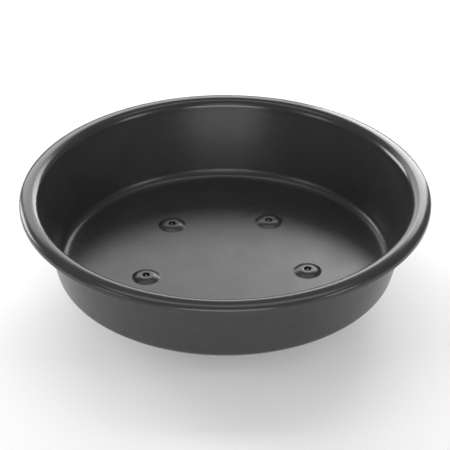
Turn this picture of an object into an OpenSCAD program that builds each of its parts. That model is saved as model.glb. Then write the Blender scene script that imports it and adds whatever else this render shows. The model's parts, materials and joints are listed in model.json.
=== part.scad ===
// Round plant pot caddy: a deep flared saucer that rolls on twin-wheel swivel casters.
// The casters sit in sockets under the saucer's floor. Each socket ends in a low dome on the
// floor, and the tip of the caster's stem shows in the hole at the top of the dome.
// Origin: on the ground under the saucer's axis. +Z is up, -Y is the front.

/* [Saucer] */
// Diameter over the rim
rim_d = 406; // [402:1:414]
// Diameter of the outer wall where it would meet the underside
base_d = 333.5; // [326:0.5:340]
// Height of the saucer from its underside to the top of its rim
saucer_h = 82.5; // [70:0.5:90]
// Angle that the wall leans outwards
wall_draft = 14.8; // [12:0.1:15.5]
// Thickness of the wall and of the floor
wall_t = 3; // [2.5:0.1:3.4]
// Radius of the corner under the wall, outside
base_fillet = 10; // [6:0.5:14]
// Radius of the corner between the floor and the wall, inside
floor_fillet = 10; // [6:0.5:14]

/* [Rim] */
// Radius of the rim's rounded inner edge
rim_inner_r = 9; // [6:0.5:10]
// Radius of the rim's rounded outer edge
rim_outer_r = 4; // [3.6:0.1:5]
// Radius of the rim's crowned top, which falls outwards from its crest
rim_crown_r = 18; // [16:1:40]
// Straight depth of the lip below its rounded outer edge
lip_drop = 3; // [1.2:0.1:4]
// Radius that softens the lip's lower edges
lip_edge_r = 0.8; // [0.4:0.1:1.2]

/* [Caster sockets] */
// Radius of the circle that the casters stand on
caster_circle_r = 84.6; // [75:0.1:100]
// Direction of the front caster, seen from above
front_caster_angle = -86; // [-100:0.5:-80]
// Width of a dome at the floor
dome_d = 28; // [26:0.5:34]
// Width of a dome's flat top
dome_top_d = 12; // [10:0.5:14]
// Height of a dome over the floor
dome_h = 2.8; // [2.4:0.1:3.2]
// Diameter of the hole at the top of a dome
tip_hole_d = 7; // [6:0.1:8]
// Bore of a socket
socket_bore_d = 9; // [8.6:0.1:10]
// Outside diameter of a socket's collar under the floor
socket_d = 18; // [15:0.5:20]
// Depth of a socket's collar under the floor
socket_drop = 4.7; // [4.5:0.1:5]

/* [Underside ribs] */
// Width of a rib
rib_w = 2.5; // [1.5:0.1:4]
// Depth of a rib
rib_h = 3.5; // [2:0.1:4]
// Radius of the small ring at the middle
hub_ring_r = 14; // [10:1:30]
// Radius that the straight ribs reach
rib_reach = 154; // [120:1:155]

/* [Caster] */
// Diameter of a wheel
wheel_d = 38; // [36:0.5:38]
// Width of a wheel
wheel_w = 11; // [10:0.5:12]
// Gap between the two wheels of a caster
wheel_gap = 13; // [12.6:0.1:14]
// Distance from the stem's axis to the axle
trail = 14.5; // [13:0.5:16]
// Direction in which the wheels trail behind their stems
rest_direction = 90; // [0:1:359]
// Gap between a wheel's tread and the hood
tread_gap = 1.2; // [1:0.1:1.6]
// Thickness of the hood over the wheels
hood_t = 2; // [1.6:0.1:2.2]
// Thickness of the web between the wheels
web_t = 5; // [4:0.5:8]
// Diameter of the axle
axle_d = 6; // [5:0.1:7]
// Diameter of the stem in the hood
stem_d = 8; // [7:0.1:8]
// Diameter of the stem's flange
flange_d = 14; // [12:0.5:15]
// Thickness of the stem's flange
flange_t = 1.4; // [1:0.1:1.6]

/* [Hidden] */
CASTERS = 5;
PIECES = ["stem", "grip_ring", "stem_clip", "hood", "axle", "wheel_left", "wheel_right"];

$fn = 96;
run_gap = 0.05;   // radial clearance of a shaft that turns in its hole
free_gap = 0.3;   // gap between faces that pass each other
arc_steps = 10;

// Heights above the ground
axle_z = wheel_d / 2;
hood_r = wheel_d / 2 + tread_gap + hood_t;
hood_cut = 1.1;   // how far the flat top of the hood lies below its round top
hood_top_z = axle_z + hood_r - hood_cut;
flange_z = hood_top_z + free_gap;
socket_z = flange_z + flange_t;
saucer_z = socket_z + socket_drop;
floor_z = saucer_z + wall_t;
rim_z = saucer_z + saucer_h;
dome_z = floor_z + dome_h;

// Rim section
rim_r = rim_d / 2;
crest_z = rim_z - rim_inner_r;
crest_r = wall_r(crest_z) + (rim_inner_r - wall_t) / cos(wall_draft);
crown_z = rim_z - rim_crown_r;
outer_edge_r = rim_r - rim_outer_r;
crown_end = asin((outer_edge_r - crest_r) / (rim_crown_r - rim_outer_r));
outer_edge_z = crown_z + (rim_crown_r - rim_outer_r) * cos(crown_end);
lip_z = outer_edge_z - lip_drop;

// Dome section
dome_shoulder_r = 11;
dome_side_angle = 28;
dome_foot_r = dome_d / 2;
tip_hole_edge = 0.4;
socket_roof = 2.9;   // thickness of plastic left over the socket's bore
socket_top_z = dome_z - socket_roof;

// Stem section
stem_top_r = socket_bore_d / 2 - free_gap;
stem_chamfer = 0.6;
shoulder_z = socket_top_z - 1.2;
tip_r = 1.4;
tip_root_z = socket_top_z - 0.4;
tip_z = dome_z - 0.8;
ring_groove_r = 3.6;
ring_groove = [socket_z + 3.4, socket_z + 5.6];
ring_h = 1.9;
ring_slot = 2.4;
ring_z = (ring_groove[0] + ring_groove[1] - ring_h) / 2;
stem_end_z = 18.4;
clip_groove_r = 3.2;
clip_groove = [20.3, 21.1];
clip_r = 5.6;
clip_t = 0.6;
clip_z = (clip_groove[0] + clip_groove[1] - clip_t) / 2;
clip_slot = 4.4;
clip_lug = 1.2;
clip_notches = [75, 180, 285];
column_z = clip_groove[1] + 0.4;

// Caster section
wheel_side_gap = 0.5;
hood_w = 2 * (wheel_w + wheel_side_gap) + wheel_gap;
hood_arc = [28, 205];
column_r = wheel_gap / 2 - wheel_side_gap;
hub_r = 7;
neck_r = 8;
wheel_in = wheel_gap / 2;
wheel_out = wheel_in + wheel_w;
wheel_bore_end = wheel_out - 1.9;
axle_end = wheel_bore_end - 0.4;
axle_chamfer = 0.4;
snap_y = wheel_in + 6.5;
snap_w = 0.8;
snap_groove_w = 1.6;
snap_groove_r = axle_d / 2 - 0.5;
snap_ridge_r = axle_d / 2 - 0.25;
tread_r = [wheel_d / 2 - 4.2, wheel_d / 2];
tread_edge_in = 1;
tread_edge_out = 2.6;
wheel_web = [wheel_in + 2, wheel_in + 4.5];
wheel_hub_r = 6.2;
hub_chamfer = 0.6;
spokes = 6;
spoke_w = 1.8;
spoke_face = wheel_out - 1.2;

pan_colour = [0.16, 0.16, 0.17];
nylon_colour = [0.10, 0.10, 0.11];
wheel_colour = [0.22, 0.22, 0.23];
steel_colour = [0.72, 0.72, 0.74];

// Radius of the outer wall at a height
function wall_r(z) = base_d / 2 + (z - saucer_z) * tan(wall_draft);

// Radius of the inner wall at a height
function inner_r(z) = wall_r(z) - wall_t / cos(wall_draft);

// Points along an arc about a centre, from one angle to another
function arc(centre, r, from, to) =
    [for (i = [0 : arc_steps])
        let (a = from + (to - from) * i / arc_steps)
        centre + r * [cos(a), sin(a)]];

// Angle of a caster about the saucer's axis
function caster_angle(k) = front_caster_angle + (k - 1) * 360 / CASTERS;

// Puts a socket or a stem at its place on the caster circle
module at_socket(k)
    rotate([0, 0, caster_angle(k)])
        translate([caster_circle_r, 0, 0])
            children();

// Puts a caster at its place, trailing in the rest direction
module at_caster(k)
    translate(caster_circle_r * [cos(caster_angle(k)), sin(caster_angle(k)), 0])
        rotate([0, 0, rest_direction])
            children();

// Turns a section drawn as radius and distance along Y into a solid about the axle
module about_axle(side)
    translate([trail, 0, axle_z])
        rotate([-90 * side, 0, 0])
            children();

// Extrudes an outline drawn in X and Z across a caster
module across(width)
    rotate([90, 0, 0])
        linear_extrude(height = width, center = true)
            children();

// Section of the saucer's floor, wall and rim in one skin
module saucer_section() {
    base_z = saucer_z + base_fillet;
    base_centre = [wall_r(base_z) - base_fillet / cos(wall_draft), base_z];
    inside_z = floor_z + floor_fillet;
    inside_centre = [inner_r(inside_z) - floor_fillet / cos(wall_draft), inside_z];
    crest = [crest_r, crest_z];
    crown = [crest_r, crown_z];
    outer_edge = [outer_edge_r, outer_edge_z];
    crown_out = 90 - crown_end;
    polygon(concat(
        [[0, saucer_z]],
        arc(base_centre, base_fillet, -90, -wall_draft),
        arc(crest, rim_inner_r - wall_t, 180 - wall_draft, 90),
        arc(crown, rim_crown_r - wall_t, 90, crown_out),
        arc(outer_edge, rim_outer_r - wall_t, crown_out, 0),
        arc([rim_r - wall_t + lip_edge_r, lip_z + lip_edge_r], lip_edge_r, 180, 270),
        arc([rim_r - lip_edge_r, lip_z + lip_edge_r], lip_edge_r, -90, 0),
        arc(outer_edge, rim_outer_r, 0, crown_out),
        arc(crown, rim_crown_r, crown_out, 90),
        arc(crest, rim_inner_r, 90, 180 - wall_draft),
        arc(inside_centre, floor_fillet, -wall_draft, -90),
        [[0, floor_z]]
    ));
}

// Low dome on the floor over a socket
module dome() {
    shoulder = [dome_top_d / 2, dome_z - dome_shoulder_r];
    rotate_extrude()
        polygon(concat(
            [[0, floor_z - 1], [dome_foot_r, floor_z - 1], [dome_foot_r, floor_z]],
            arc(shoulder, dome_shoulder_r, 90 - dome_side_angle, 90),
            [[0, dome_z]]
        ));
}

// Socket hole from the collar's mouth up to the hole at the dome's top
module socket_hole() {
    translate([0, 0, socket_z - 1])
        cylinder(d = socket_bore_d, h = socket_top_z - socket_z + 1);
    translate([0, 0, socket_z])
        cylinder(d = tip_hole_d, h = dome_z - socket_z + 1);
    translate([0, 0, dome_z - tip_hole_edge])
        cylinder(d1 = tip_hole_d, d2 = tip_hole_d + 4 * tip_hole_edge, h = 2 * tip_hole_edge);
}

// Ribs under the floor: two rings and straight ribs through and between the sockets
module ribs() {
    for (r = [hub_ring_r, caster_circle_r])
        translate([0, 0, saucer_z - rib_h])
            rotate_extrude()
                translate([r - rib_w / 2, 0])
                    square([rib_w, rib_h + 1]);
    for (i = [0 : 2 * CASTERS - 1])
        rotate([0, 0, front_caster_angle + i * 180 / CASTERS])
            translate([hub_ring_r, -rib_w / 2, saucer_z - rib_h])
                cube([rib_reach - hub_ring_r, rib_w, rib_h + 1]);
}

module pan() {
    color(pan_colour)
        difference() {
            union() {
                rotate_extrude()
                    saucer_section();
                ribs();
                for (k = [1 : CASTERS])
                    at_socket(k) {
                        dome();
                        translate([0, 0, socket_z])
                            cylinder(d = socket_d, h = socket_drop + 1);
                    }
            }
            for (k = [1 : CASTERS])
                at_socket(k)
                    socket_hole();
        }
}

module stem() {
    r = stem_d / 2;
    color(steel_colour)
        rotate_extrude()
            polygon([
                [0, stem_end_z],
                [r - stem_chamfer, stem_end_z],
                [r, stem_end_z + stem_chamfer],
                [r, clip_groove[0]],
                [clip_groove_r, clip_groove[0]],
                [clip_groove_r, clip_groove[1]],
                [r, clip_groove[1]],
                [r, flange_z],
                [flange_d / 2, flange_z],
                [flange_d / 2, socket_z],
                [stem_top_r, socket_z],
                [stem_top_r, ring_groove[0]],
                [ring_groove_r, ring_groove[0]],
                [ring_groove_r, ring_groove[1]],
                [stem_top_r, ring_groove[1]],
                [stem_top_r, shoulder_z],
                [tip_r, tip_root_z],
                [tip_r, tip_z - stem_chamfer],
                [tip_r - stem_chamfer, tip_z],
                [0, tip_z]
            ]);
}

// Ring with a slot cut through one side
module split_ring(inner, outer, height, slot)
    difference() {
        rotate_extrude()
            translate([inner, 0])
                square([outer - inner, height]);
        translate([0, -slot / 2, -1])
            cube([outer + 1, slot, height + 2]);
    }

module grip_ring() {
    color(steel_colour)
        translate([0, 0, ring_z])
            split_ring(ring_groove_r, socket_bore_d / 2, ring_h, ring_slot);
}

module stem_clip() {
    color(steel_colour)
        translate([0, 0, clip_z])
            difference() {
                split_ring(clip_groove_r, clip_r, clip_t, clip_slot);
                for (a = clip_notches)
                    rotate([0, 0, a])
                        translate([clip_groove_r + clip_lug, 0, -1])
                            rotate([0, 0, -45])
                                cube([clip_r, clip_r, clip_t + 2]);
            }
}

// Mudguard and web before the wheel wells are cut: a wedge of a round block about the axle
module hood_block()
    intersection() {
        translate([trail, 0, axle_z])
            rotate([90, 0, 0])
                cylinder(r = hood_r, h = hood_w, center = true);
        across(hood_w + 2)
            translate([trail, axle_z])
                polygon(concat([[0, 0]], arc([0, 0], 2 * hood_r, hood_arc[0], hood_arc[1])));
    }

// Space that the two wheels turn in, outside the central web
module wheel_wells(half_web)
    for (side = [-1, 1])
        about_axle(side)
            translate([0, 0, half_web])
                cylinder(r = hood_r - hood_t, h = hood_w);

module hood() {
    color(nylon_colour)
        difference() {
            union() {
                difference() {
                    union() {
                        hood_block();
                        translate([0, 0, axle_z])
                            cylinder(r = neck_r, h = hood_top_z - axle_z);
                    }
                    wheel_wells(web_t / 2);
                }
                translate([0, 0, column_z])
                    cylinder(r = column_r, h = hood_top_z - column_z);
                translate([trail, 0, axle_z])
                    rotate([90, 0, 0])
                        cylinder(r = hub_r, h = 2 * column_r, center = true);
            }
            translate([0, 0, stem_end_z])
                cylinder(r = stem_d / 2 + run_gap, h = hood_top_z);
            translate([0, 0, stem_end_z - 1])
                cylinder(r = clip_r + 1, h = column_z - stem_end_z + 1);
            translate([trail, 0, axle_z])
                rotate([90, 0, 0])
                    cylinder(d = axle_d, h = hood_w, center = true);
        }
}

module axle() {
    r = axle_d / 2;
    groove = [snap_y - snap_groove_w / 2, snap_y + snap_groove_w / 2];
    half = [
        [r, 0],
        [r, groove[0]],
        [snap_groove_r, groove[0]],
        [snap_groove_r, groove[1]],
        [r, groove[1]],
        [r, axle_end - axle_chamfer],
        [r - axle_chamfer, axle_end]
    ];
    color(steel_colour)
        for (side = [-1, 1])
            about_axle(side)
                rotate_extrude()
                    polygon(concat([[0, 0]], half, [[0, axle_end]]));
}

// Section of a wheel: radius, and distance from the caster's middle
module wheel_section() {
    bore_r = axle_d / 2 + run_gap;
    snap = [snap_y - snap_w / 2, snap_y + snap_w / 2];
    edge_in = [tread_r[1] - tread_edge_in, wheel_in + tread_edge_in];
    edge_out = [tread_r[1] - tread_edge_out, wheel_out - tread_edge_out];
    polygon(concat(
        [
            [bore_r, wheel_in],
            [wheel_hub_r, wheel_in],
            [wheel_hub_r, wheel_web[0]],
            [tread_r[0], wheel_web[0]],
            [tread_r[0], wheel_in]
        ],
        arc(edge_in, tread_edge_in, -90, 0),
        arc(edge_out, tread_edge_out, 0, 90),
        [
            [tread_r[0], wheel_out],
            [tread_r[0], wheel_web[1]],
            [wheel_hub_r, wheel_web[1]],
            [wheel_hub_r, wheel_out - hub_chamfer],
            [wheel_hub_r - hub_chamfer, wheel_out],
            [0, wheel_out],
            [0, wheel_bore_end],
            [bore_r, wheel_bore_end],
            [bore_r, snap[1]],
            [snap_ridge_r, snap[1]],
            [snap_ridge_r, snap[0]],
            [bore_r, snap[0]]
        ]
    ));
}

module wheel(side) {
    color(wheel_colour)
        about_axle(side) {
            rotate_extrude()
                wheel_section();
            for (i = [0 : spokes - 1])
                rotate([0, 0, i * 360 / spokes])
                    translate([wheel_hub_r - 1, -spoke_w / 2, wheel_web[1] - 1])
                        cube([tread_r[0] - wheel_hub_r + 2, spoke_w, spoke_face - wheel_web[1] + 1]);
        }
}

pan();
for (k = [1 : CASTERS]) {
    at_socket(k) stem();
    at_socket(k) grip_ring();
    at_socket(k) stem_clip();
    at_caster(k) hood();
    at_caster(k) axle();
    at_caster(k) wheel(1);
    at_caster(k) wheel(-1);
}
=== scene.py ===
import json
import math

import bmesh
import bpy
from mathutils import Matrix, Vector
from mathutils.geometry import delaunay_2d_cdt


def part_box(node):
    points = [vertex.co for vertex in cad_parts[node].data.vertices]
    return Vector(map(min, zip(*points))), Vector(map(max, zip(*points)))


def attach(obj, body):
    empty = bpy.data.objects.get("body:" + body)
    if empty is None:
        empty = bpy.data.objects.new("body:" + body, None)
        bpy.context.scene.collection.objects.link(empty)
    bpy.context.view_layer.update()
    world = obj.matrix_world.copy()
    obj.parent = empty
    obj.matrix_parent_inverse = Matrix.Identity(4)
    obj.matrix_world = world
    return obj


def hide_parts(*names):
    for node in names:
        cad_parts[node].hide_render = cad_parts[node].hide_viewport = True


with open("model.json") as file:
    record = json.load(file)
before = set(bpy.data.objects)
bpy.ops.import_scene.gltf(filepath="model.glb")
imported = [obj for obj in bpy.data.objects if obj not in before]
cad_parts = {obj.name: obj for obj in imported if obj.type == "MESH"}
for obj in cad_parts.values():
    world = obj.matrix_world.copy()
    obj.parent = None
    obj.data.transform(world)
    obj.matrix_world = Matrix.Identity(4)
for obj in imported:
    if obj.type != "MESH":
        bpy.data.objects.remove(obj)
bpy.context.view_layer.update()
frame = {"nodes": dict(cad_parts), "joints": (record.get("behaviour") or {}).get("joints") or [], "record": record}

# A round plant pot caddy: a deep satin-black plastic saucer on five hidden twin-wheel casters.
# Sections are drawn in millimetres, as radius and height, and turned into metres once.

MM = 0.001

# ---------------------------------------------------------------- sizes that follow the frame

pan_low, pan_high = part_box("pan")
joints = {j["name"]: j for j in frame["joints"]}
mounts = {m["name"]: m for m in frame["record"]["mounts"]}
CASTERS = sum(name.startswith("caster_swivel") for name in joints)

RIM_R = min(pan_high.x, pan_high.y) / MM
RIM_Z = pan_high.z / MM
FLOOR_Z = mounts["saucer_floor"]["pos_m"][2] / MM
WALL = 3.0
UNDER_Z = FLOOR_Z - WALL
SOCKET_Z = pan_low.z / MM
SOCKETS = [
    Vector(joints[f"caster_swivel_{k + 1}"]["pos_m"]).xy / MM for k in range(CASTERS)
]
CIRCLE_R = SOCKETS[0].length
FRONT_ANGLE = math.degrees(math.atan2(SOCKETS[0].y, SOCKETS[0].x))

# ---------------------------------------------------------------- sizes of the saucer's details

BASE_R = 166.75
DRAFT = 14.8
BASE_FILLET = 10.0
FLOOR_FILLET = 10.0
RIM_INNER_FILLET = 9.0
RIM_OUTER_FILLET = 4.0
RIM_CROWN = 18.0
LIP_DROP = 3.0
LIP_EDGE = 0.8

DOME_OVER_COLLAR = 10.5
DOME_TOP_Z = SOCKET_Z + DOME_OVER_COLLAR
DOME_TOP_R = 6.0
DOME_SHOULDER = 11.0
DOME_SIDE = 28.0
DOME_FOOT_FILLET = 1.2
TIP_HOLE_R = 3.5
TIP_HOLE_EDGE = 0.5
SOCKET_BORE_R = 4.5
SOCKET_ROOF = 2.9
SOCKET_ROOF_Z = DOME_TOP_Z - SOCKET_ROOF
SOCKET_CHAMFER = 0.4
COLLAR_R = 9.0
RIB_W = 2.5
RIB_H = 3.5
HUB_RING_R = 14.0
RIB_REACH = 154.0
RIB_END_IN_COLLAR = 0.7 * COLLAR_R

# How finely the saucer is meshed. HOLD is how far a straight stretch's first point is from its end.
RIM_SEGMENTS = 288
SOCKET_SEGMENTS = 72
RING_SEGMENTS = 96
FLOOR_SPACING = 11.0
FLOOR_EDGE_GAP = 4.0
DOME_EDGE_GAP = 3.0
HOLD = 1.2
MERGE = 0.002 * MM


# ---------------------------------------------------------------- drawing helpers

def arc(centre, radius, start, end, steps):
    """Points along an arc, angles in degrees."""
    angles = [math.radians(start + (end - start) * i / steps) for i in range(steps + 1)]
    return [(centre[0] + radius * math.cos(a), centre[1] + radius * math.sin(a)) for a in angles]


def straight(start, end, spacing=12.0):
    """Points between two ends: one close to each end, which holds the shading flat, and a few between."""
    start, end = Vector(start), Vector(end)
    length = (end - start).length
    if length < 3 * HOLD:
        return []
    steps = max(1, round((length - 2 * HOLD) / spacing))
    places = [HOLD + (length - 2 * HOLD) * i / steps for i in range(steps + 1)]
    return [tuple(start.lerp(end, p / length)) for p in places]


def joined(*pieces):
    """One line of points from arcs and points, with held straight stretches between them."""
    line = list(pieces[0])
    for piece in pieces[1:]:
        line += straight(line[-1], piece[0])
        line += piece
    return line


def circle(centre, radius, segments):
    """Points of a circle seen from above."""
    turns = [2 * math.pi * i / segments for i in range(segments)]
    return [(centre[0] + radius * math.cos(a), centre[1] + radius * math.sin(a)) for a in turns]


def spin(bm, line, segments, centre=(0.0, 0.0)):
    """Turns a line of radius and height about an upright axis and skins it with quads."""
    rings = []
    for radius, z in line:
        points = circle(centre, radius, segments)
        rings.append([bm.verts.new((x * MM, y * MM, z * MM)) for x, y in points])
    for inner, outer in zip(rings, rings[1:]):
        for i in range(segments):
            j = (i + 1) % segments
            bm.faces.new((inner[i], inner[j], outer[j], outer[i]))


def plan_mesh(loops, extra=()):
    """Triangles of a plan: closed loops of points, which may cross, and extra free points."""
    points, edges = [], []
    for loop in loops:
        first = len(points)
        count = len(loop)
        points += [Vector(p) for p in loop]
        edges += [(first + i, first + (i + 1) % count) for i in range(count)]
    points += [Vector(p) for p in extra]
    verts, _, faces, _, _, _ = delaunay_2d_cdt(points, edges, [], 0, 1e-4)
    return verts, faces


def finish_mesh(name, bm, smooth_angle=32):
    """Makes an object of a bmesh, welded, facing outwards and smooth except at real edges."""
    bmesh.ops.remove_doubles(bm, verts=bm.verts, dist=MERGE)
    bmesh.ops.recalc_face_normals(bm, faces=bm.faces)
    mesh = bpy.data.meshes.new(name)
    bm.to_mesh(mesh)
    bm.free()
    mesh.polygons.foreach_set("use_smooth", [True] * len(mesh.polygons))
    mesh.set_sharp_from_angle(angle=math.radians(smooth_angle))
    piece = bpy.data.objects.new(name, mesh)
    bpy.context.scene.collection.objects.link(piece)
    return piece


# ---------------------------------------------------------------- the saucer

def outer_wall_r(z):
    return BASE_R + (z - UNDER_Z) * math.tan(math.radians(DRAFT))


def inner_wall_r(z):
    return outer_wall_r(z) - WALL / math.cos(math.radians(DRAFT))


def wall_section():
    """The skin from the floor's edge up the inside, over the rim and down to the underside's edge."""
    lean = math.cos(math.radians(DRAFT))
    inside_z = FLOOR_Z + FLOOR_FILLET
    inside = (inner_wall_r(inside_z) - FLOOR_FILLET / lean, inside_z)
    base_z = UNDER_Z + BASE_FILLET
    base = (outer_wall_r(base_z) - BASE_FILLET / lean, base_z)
    crest_z = RIM_Z - RIM_INNER_FILLET
    crest = (outer_wall_r(crest_z) + (RIM_INNER_FILLET - WALL) / lean, crest_z)
    crown = (crest[0], RIM_Z - RIM_CROWN)
    edge_r = RIM_R - RIM_OUTER_FILLET
    reach = RIM_CROWN - RIM_OUTER_FILLET
    crown_out = math.degrees(math.acos((edge_r - crest[0]) / reach))
    edge = (edge_r, crown[1] + reach * math.sin(math.radians(crown_out)))
    lip_z = edge[1] - LIP_DROP
    lip_out = (RIM_R - LIP_EDGE, lip_z + LIP_EDGE)
    lip_in = (RIM_R - WALL + LIP_EDGE, lip_z + LIP_EDGE)
    return joined(
        [(inside[0] - 2 * HOLD, FLOOR_Z)],
        arc(inside, FLOOR_FILLET, -90, -DRAFT, 14),
        arc(crest, RIM_INNER_FILLET, 180 - DRAFT, 90, 12),
        arc(crown, RIM_CROWN, 90, crown_out, 10)[1:],
        arc(edge, RIM_OUTER_FILLET, crown_out, 0, 12)[1:],
        arc(lip_out, LIP_EDGE, 0, -90, 5),
        arc(lip_in, LIP_EDGE, -90, -180, 5),
        arc(edge, RIM_OUTER_FILLET - WALL, 0, crown_out, 6),
        arc(crown, RIM_CROWN - WALL, crown_out, 90, 8)[1:],
        arc(crest, RIM_INNER_FILLET - WALL, 90, 180 - DRAFT, 8)[1:],
        arc(base, BASE_FILLET, -DRAFT, -90, 14),
        [(base[0] - 2 * HOLD, UNDER_Z)],
    )


def socket_section():
    """The skin of a dome from the floor over its top, down through its hole and out of the socket."""
    shoulder = (DOME_TOP_R, DOME_TOP_Z - DOME_SHOULDER)
    side = math.radians(DOME_SIDE)
    shoulder_end = arc(shoulder, DOME_SHOULDER, 90 - DOME_SIDE, 90 - DOME_SIDE, 1)[0]
    foot_r = shoulder_end[0] + (shoulder_end[1] - FLOOR_Z) / math.tan(side)
    foot = (foot_r + DOME_FOOT_FILLET * math.tan(side / 2), FLOOR_Z + DOME_FOOT_FILLET)
    hole = (TIP_HOLE_R + TIP_HOLE_EDGE, DOME_TOP_Z - TIP_HOLE_EDGE)
    return joined(
        [(foot[0] + HOLD, FLOOR_Z)],
        arc(foot, DOME_FOOT_FILLET, -90, -90 - DOME_SIDE, 4),
        arc(shoulder, DOME_SHOULDER, 90 - DOME_SIDE, 90, 8),
        arc(hole, TIP_HOLE_EDGE, 90, 180, 4),
        [(TIP_HOLE_R, SOCKET_ROOF_Z), (SOCKET_BORE_R, SOCKET_ROOF_Z)],
        [(SOCKET_BORE_R, SOCKET_Z + SOCKET_CHAMFER)],
        [(SOCKET_BORE_R + SOCKET_CHAMFER, SOCKET_Z)],
    )


def floor_top(bm, edge_r, dome_r):
    """The flat floor between its edge and the five domes."""
    rows = int(edge_r / FLOOR_SPACING) + 1
    lattice = [
        ((i + 0.5 * (j % 2)) * FLOOR_SPACING, j * FLOOR_SPACING * math.sqrt(3) / 2)
        for j in range(-2 * rows, 2 * rows)
        for i in range(-rows, rows)
    ]
    extra = [
        p for p in lattice
        if math.hypot(*p) < edge_r - FLOOR_EDGE_GAP
        and all((Vector(p) - s).length > dome_r + DOME_EDGE_GAP for s in SOCKETS)
    ]
    loops = [circle((0, 0), edge_r, RIM_SEGMENTS)]
    loops += [circle(s, dome_r, SOCKET_SEGMENTS) for s in SOCKETS]
    verts, faces = plan_mesh(loops, extra)
    made = [bm.verts.new((v.x * MM, v.y * MM, FLOOR_Z * MM)) for v in verts]
    for face in faces:
        centre = sum((verts[i] for i in face), Vector((0, 0))) / 3
        if all((centre - s).length > dome_r for s in SOCKETS):
            bm.faces.new([made[i] for i in face])


def turned(points, degrees):
    """Plan points turned about the saucer's axis."""
    c, s = math.cos(math.radians(degrees)), math.sin(math.radians(degrees))
    return [(c * x - s * y, s * x + c * y) for x, y in points]


def rib_loops():
    """Plan outlines of the ribs. Each stops inside the collars that it runs into."""
    half = RIB_W / 2
    loops = [circle((0, 0), HUB_RING_R + s * half, RING_SEGMENTS) for s in (-1, 1)]
    step = 180 / CASTERS
    for i in range(2 * CASTERS):
        if i % 2:
            spans = [(HUB_RING_R, RIB_REACH)]
        else:
            spans = [(HUB_RING_R, CIRCLE_R - RIB_END_IN_COLLAR), (CIRCLE_R + RIB_END_IN_COLLAR, RIB_REACH)]
        for near, far in spans:
            bar = [(near, -half), (far, -half), (far, half), (near, half)]
            loops.append(turned(bar, FRONT_ANGLE + i * step))
    gap = math.degrees(RIB_END_IN_COLLAR / CIRCLE_R)
    for k in range(CASTERS):
        start = FRONT_ANGLE + k * 2 * step + gap
        end = start + 2 * step - 2 * gap
        outer = arc((0, 0), CIRCLE_R + half, start, end, 40)
        inner = arc((0, 0), CIRCLE_R - half, end, start, 40)
        loops.append(outer + inner)
    return loops


def under_level(point, bore_r):
    """Height of the underside at a plan point, or None in a socket's bore."""
    from_socket = min((point - s).length for s in SOCKETS)
    if from_socket < bore_r:
        return None
    if from_socket < COLLAR_R:
        return SOCKET_Z
    radius = point.length
    half = RIB_W / 2
    if abs(radius - HUB_RING_R) < half or abs(radius - CIRCLE_R) < half:
        return UNDER_Z - RIB_H
    for i in range(2 * CASTERS):
        along, across = turned([point], -FRONT_ANGLE - i * 180 / CASTERS)[0]
        if HUB_RING_R < along < RIB_REACH and abs(across) < half:
            return UNDER_Z - RIB_H
    return UNDER_Z


def underside(bm, edge_r, bore_r):
    """The flat underside with its ribs and socket collars, as one skin of levels and upright steps."""
    loops = [circle((0, 0), edge_r, RIM_SEGMENTS)]
    loops += [circle(s, r, SOCKET_SEGMENTS) for s in SOCKETS for r in (bore_r, COLLAR_R)]
    verts, faces = plan_mesh(loops + rib_loops())
    made, sides = {}, {}

    def vert(i, z):
        if (i, z) not in made:
            made[i, z] = bm.verts.new((verts[i].x * MM, verts[i].y * MM, z * MM))
        return made[i, z]

    for face in faces:
        centre = sum((verts[i] for i in face), Vector((0, 0))) / 3
        z = under_level(centre, bore_r)
        if z is None:
            continue
        bm.faces.new([vert(i, z) for i in face])
        for a, b in zip(face, face[1:] + face[:1]):
            sides.setdefault((min(a, b), max(a, b)), []).append(z)
    for (a, b), levels in sides.items():
        if len(levels) == 2 and levels[0] != levels[1]:
            low, high = levels
            bm.faces.new((vert(a, low), vert(b, low), vert(b, high), vert(a, high)))


def make_saucer():
    bm = bmesh.new()
    wall = wall_section()
    socket = socket_section()
    spin(bm, wall, RIM_SEGMENTS)
    for centre in SOCKETS:
        spin(bm, socket, SOCKET_SEGMENTS, centre)
    floor_top(bm, wall[0][0], socket[0][0])
    underside(bm, wall[-1][0], socket[-1][0])
    return finish_mesh("saucer", bm)


# ---------------------------------------------------------------- materials

# Roughness of the saucer and of its rim, and how strongly the saucer reflects
SATIN = 0.28
RIM_SATIN = 0.19
SAUCER_SPECULAR = 0.38

# Depths below the rim's top between which the handled rim's smoother finish fades out
HANDLED_FADE = (6.0, 12.0)

# Dot product of the true and the rounded normal: fully worn up to WORN_AT, flat from FLAT_AT
WORN_AT = 0.82
FLAT_AT = 0.995

PLASTIC_IOR = 1.5
SOFTENED_ANGLE = 40


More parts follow.
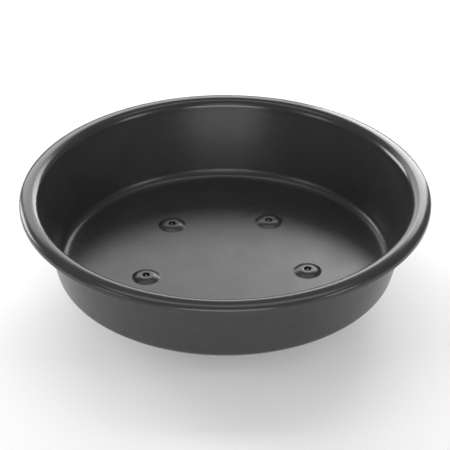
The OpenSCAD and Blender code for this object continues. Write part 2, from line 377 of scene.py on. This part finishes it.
class Shader:
    """A material with a Principled shader and short calls for the nodes that feed it."""

    def __init__(self, name, colour, roughness, metallic=0.0):
        self.material = bpy.data.materials.new(name)
        self.material.use_nodes = True
        self.tree = self.material.node_tree
        self.tree.nodes.clear()
        self.out = self.tree.nodes.new("ShaderNodeOutputMaterial")
        self.shader = self.tree.nodes.new("ShaderNodeBsdfPrincipled")
        self.link(self.shader.outputs[0], self.out.inputs["Surface"])
        self.shader.inputs["Base Color"].default_value = (*colour, 1)
        self.shader.inputs["Roughness"].default_value = roughness
        self.shader.inputs["Metallic"].default_value = metallic
        self.shader.inputs["IOR"].default_value = PLASTIC_IOR
        self.place = self.tree.nodes.new("ShaderNodeTexCoord").outputs["Object"]

    def link(self, output, socket):
        self.tree.links.new(output, socket)

    def stretched(self, scale):
        node = self.tree.nodes.new("ShaderNodeMapping")
        node.inputs["Scale"].default_value = scale
        self.link(self.place, node.inputs["Vector"])
        return node.outputs[0]

    def height(self):
        """Height above the ground in millimetres."""
        node = self.tree.nodes.new("ShaderNodeSeparateXYZ")
        self.link(self.place, node.inputs[0])
        return self.combine("DIVIDE", node.outputs["Z"], MM)

    def noise(self, size_mm, detail=2.0, vector=None, distortion=0.0):
        node = self.tree.nodes.new("ShaderNodeTexNoise")
        node.inputs["Scale"].default_value = 1 / (size_mm * MM)
        node.inputs["Detail"].default_value = detail
        node.inputs["Distortion"].default_value = distortion
        self.link(vector or self.place, node.inputs["Vector"])
        return node.outputs["Fac"]

    def spread(self, value, low, high, from_low=0.3, from_high=0.7):
        node = self.tree.nodes.new("ShaderNodeMapRange")
        node.inputs["From Min"].default_value = from_low
        node.inputs["From Max"].default_value = from_high
        node.inputs["To Min"].default_value = low
        node.inputs["To Max"].default_value = high
        self.link(value, node.inputs["Value"])
        return node.outputs[0]

    def combine(self, operation, a, b):
        node = self.tree.nodes.new("ShaderNodeMath")
        node.operation = operation
        for socket, value in zip(node.inputs, (a, b)):
            if isinstance(value, (int, float)):
                socket.default_value = value
            else:
                self.link(value, socket)
        return node.outputs[0]

    def blend(self, factor, first, second):
        node = self.tree.nodes.new("ShaderNodeMix")
        node.data_type = "RGBA"
        self.link(factor, node.inputs["Factor"])
        for socket, value in zip((node.inputs[6], node.inputs[7]), (first, second)):
            if isinstance(value, tuple):
                socket.default_value = (*value, 1)
            else:
                self.link(value, socket)
        return node.outputs[2]

    def worn_edges(self, radius_mm, amount):
        """0 on flat faces, rising to the amount where a face turns away within the radius."""
        rounded = self.tree.nodes.new("ShaderNodeBevel")
        rounded.samples = 6
        rounded.inputs["Radius"].default_value = radius_mm * MM
        flat = self.tree.nodes.new("ShaderNodeNewGeometry")
        turn = self.tree.nodes.new("ShaderNodeVectorMath")
        turn.operation = "DOT_PRODUCT"
        self.link(rounded.outputs[0], turn.inputs[0])
        self.link(flat.outputs["Normal"], turn.inputs[1])
        worn = self.spread(turn.outputs["Value"], amount, 0.0, WORN_AT, FLAT_AT)
        return self.combine("MULTIPLY", worn, self.spread(self.noise(5, detail=4), 0.3, 1.0))

    def colour(self, output):
        self.link(output, self.shader.inputs["Base Color"])

    def roughness(self, output):
        self.link(output, self.shader.inputs["Roughness"])

    def bump(self, height, depth_mm, strength):
        node = self.tree.nodes.new("ShaderNodeBump")
        node.inputs["Strength"].default_value = strength
        node.inputs["Distance"].default_value = depth_mm * MM
        self.link(height, node.inputs["Height"])
        self.link(node.outputs[0], self.shader.inputs["Normal"])


def saucer_plastic():
    """Satin charcoal polypropylene: flow clouds, moulded grain and a rim rubbed smoother by hands."""
    s = Shader("saucer_plastic", (0.028, 0.028, 0.029), SATIN)
    s.shader.inputs["Specular IOR Level"].default_value = SAUCER_SPECULAR
    clouds = s.noise(70, detail=3, distortion=0.6)
    base = s.blend(s.spread(clouds, 0, 1), (0.025, 0.025, 0.026), (0.031, 0.031, 0.032))
    s.colour(s.blend(s.worn_edges(2.0, 0.55), base, (0.044, 0.044, 0.045)))
    patches = s.spread(s.noise(34, detail=3), -0.02, 0.025)
    grain = s.spread(s.noise(0.8, detail=2), -0.015, 0.015)
    handled = s.spread(s.height(), SATIN, RIM_SATIN, RIM_Z - HANDLED_FADE[1], RIM_Z - HANDLED_FADE[0])
    s.roughness(s.combine("ADD", s.combine("ADD", patches, grain), handled))
    s.bump(s.noise(22, detail=1), 0.05, 0.3)
    return s.material


def moulded_nylon(name, dark, light, roughness):
    """Moulded nylon: mottled, lightly textured, with pale rubbed edges."""
    s = Shader(name, dark, roughness)
    base = s.blend(s.spread(s.noise(9, detail=4), 0, 1), dark, light)
    s.colour(s.blend(s.worn_edges(0.6, 0.7), base, tuple(2.2 * c for c in light)))
    s.roughness(s.spread(s.noise(4, detail=3), roughness - 0.06, roughness + 0.08))
    s.bump(s.noise(0.5, detail=2), 0.03, 0.6)
    return s.material


def plated_steel(name, colour, roughness):
    """Drawn steel under a dull plating, darker where it has tarnished and bright on its edges."""
    s = Shader(name, colour, roughness, metallic=1.0)
    drawn = s.noise(0.6, detail=3, vector=s.stretched((1, 1, 0.06)))
    tarnish = tuple(c * 0.7 for c in colour)
    base = s.blend(s.spread(s.noise(3, detail=4), 0, 1), colour, tarnish)
    s.colour(s.blend(s.worn_edges(0.3, 0.5), base, tuple(min(1.0, 1.3 * c) for c in colour)))
    s.roughness(s.spread(drawn, roughness - 0.08, roughness + 0.1))
    s.bump(drawn, 0.01, 0.5)
    return s.material


def give(piece, material):
    """Puts one material on a piece in place of any that it has."""
    piece.data.materials.clear()
    piece.data.materials.append(material)


def soften(piece, width_mm):
    """Breaks a caster part's sharp edges with a small round and shades it from its large faces."""
    weld = piece.modifiers.new("weld", "WELD")
    weld.merge_threshold = MERGE
    bevel = piece.modifiers.new("edge_break", "BEVEL")
    bevel.width = width_mm * MM
    bevel.segments = 2
    bevel.limit_method = "ANGLE"
    bevel.angle_limit = math.radians(SOFTENED_ANGLE)
    shading = piece.modifiers.new("shading", "WEIGHTED_NORMAL")
    shading.keep_sharp = True


# ---------------------------------------------------------------- build the object

saucer = make_saucer()
give(saucer, saucer_plastic())
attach(saucer, "pan_body")
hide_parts("pan")

hood_nylon = moulded_nylon("hood_nylon", (0.014, 0.014, 0.015), (0.020, 0.020, 0.021), 0.42)
wheel_nylon = moulded_nylon("wheel_nylon", (0.024, 0.024, 0.025), (0.034, 0.034, 0.035), 0.38)
zinc = plated_steel("zinc_plate", (0.22, 0.22, 0.225), 0.48)
spring = plated_steel("spring_steel", (0.32, 0.31, 0.30), 0.35)
CASTER_FINISH = {
    "stem": zinc,
    "grip_ring": spring,
    "stem_clip": spring,
    "hood": hood_nylon,
    "axle": zinc,
    "wheel_left": wheel_nylon,
    "wheel_right": wheel_nylon,
}
# Widths in mm by which the caster parts' sharp edges are broken
EDGE_BREAK = {"hood": 0.25, "wheel_left": 0.2, "wheel_right": 0.2, "axle": 0.12, "stem": 0.12}
for name, node in frame["nodes"].items():
    kind = name.rpartition("_")[0]
    if kind in CASTER_FINISH:
        give(node, CASTER_FINISH[kind])
    if kind in EDGE_BREAK:
        soften(node, EDGE_BREAK[kind])

# ---------------------------------------------------------------- stage, lights and camera

FLOOR_SIZE = 8.0
PAPER_GLOW = 0.13
LIGHT_DISTANCE = 1.6
WORLD_LIGHT = 0.3


def make_stage():
    """A pale floor that is seen only from above, so the underside can be looked at through it."""
    bm = bmesh.new()
    bmesh.ops.create_grid(bm, x_segments=8, y_segments=8, size=FLOOR_SIZE / 2)
    mesh = bpy.data.meshes.new("stage_floor")
    bm.to_mesh(mesh)
    bm.free()
    floor = bpy.data.objects.new("stage_floor", mesh)
    bpy.context.scene.collection.objects.link(floor)
    paper = Shader("stage_paper", (0.84, 0.84, 0.84), 0.9)
    paper.shader.inputs["Emission Color"].default_value = (1, 1, 1, 1)
    paper.shader.inputs["Emission Strength"].default_value = PAPER_GLOW
    side = paper.tree.nodes.new("ShaderNodeNewGeometry")
    clear = paper.tree.nodes.new("ShaderNodeBsdfTransparent")
    pick = paper.tree.nodes.new("ShaderNodeMixShader")
    paper.link(side.outputs["Backfacing"], pick.inputs[0])
    paper.link(paper.shader.outputs[0], pick.inputs[1])
    paper.link(clear.outputs[0], pick.inputs[2])
    paper.link(pick.outputs[0], paper.out.inputs["Surface"])
    give(floor, paper.material)


def soft_box(name, azimuth, elevation, wide, high, radiance):
    """A soft box that faces the rim. Angles in degrees, azimuth from the back and positive to the right."""
    turn, rise = math.radians(azimuth), math.radians(elevation)
    direction = Vector((math.sin(turn) * math.cos(rise), math.cos(turn) * math.cos(rise), math.sin(rise)))
    light = bpy.data.lights.new(name, "AREA")
    light.shape = "RECTANGLE"
    light.size = 2 * LIGHT_DISTANCE * math.tan(math.radians(wide / 2))
    light.size_y = 2 * LIGHT_DISTANCE * math.tan(math.radians(high / 2))
    light.energy = radiance * math.pi * light.size * light.size_y
    lamp = bpy.data.objects.new(name, light)
    bpy.context.scene.collection.objects.link(lamp)
    lamp.location = Vector((0, 0, RIM_Z * MM)) + LIGHT_DISTANCE * direction
    lamp.rotation_euler = direction.to_track_quat("Z", "Y").to_euler()


def make_lights():
    soft_box("back_right_box", 20, 21, 24, 32, 7.0)
    soft_box("back_box", -14, 24, 38, 30, 3.2)
    soft_box("left_box", -53, 14, 24, 22, 10.0)
    soft_box("right_side_box", 120, 22, 16, 24, 4.5)
    soft_box("left_side_box", -120, 22, 16, 24, 3.0)
    soft_box("front_low_box", 180, 12, 44, 15, 7.5)
    soft_box("front_box", 180, 38, 24, 16, 2.0)
    soft_box("top_strip", 0, 83, 60, 13, 2.4)
    world = bpy.data.worlds.new("studio")
    world.use_nodes = True
    world.node_tree.nodes["Background"].inputs["Color"].default_value = (1, 1, 1, 1)
    world.node_tree.nodes["Background"].inputs["Strength"].default_value = WORLD_LIGHT
    bpy.context.scene.world = world


# The view: a long lens that looks down at 32 degrees. Its distance is measured from a point just under
# the rim's top, and the drop and the side step then shift the camera in its own picture plane.
ELEVATION = math.radians(32.15)
DISTANCE = 2.386
FOCAL = 193.36
VIEW_DROP = 0.0264
VIEW_SIDE = -0.0002
AIM_Z = RIM_Z * MM - 0.0072


def make_camera():
    data = bpy.data.cameras.new("view")
    data.lens = FOCAL
    data.sensor_width = 36
    data.clip_start = 0.05
    data.clip_end = 20
    camera = bpy.data.objects.new("view", data)
    bpy.context.scene.collection.objects.link(camera)
    sine, cosine = math.sin(ELEVATION), math.cos(ELEVATION)
    camera.location = (
        VIEW_SIDE,
        -DISTANCE * cosine - VIEW_DROP * sine,
        AIM_Z + DISTANCE * sine - VIEW_DROP * cosine,
    )
    camera.rotation_euler = (math.pi / 2 - ELEVATION, 0, 0)
    bpy.context.scene.camera = camera


make_stage()
make_lights()
make_camera()
bpy.context.scene.view_settings.view_transform = "Standard"
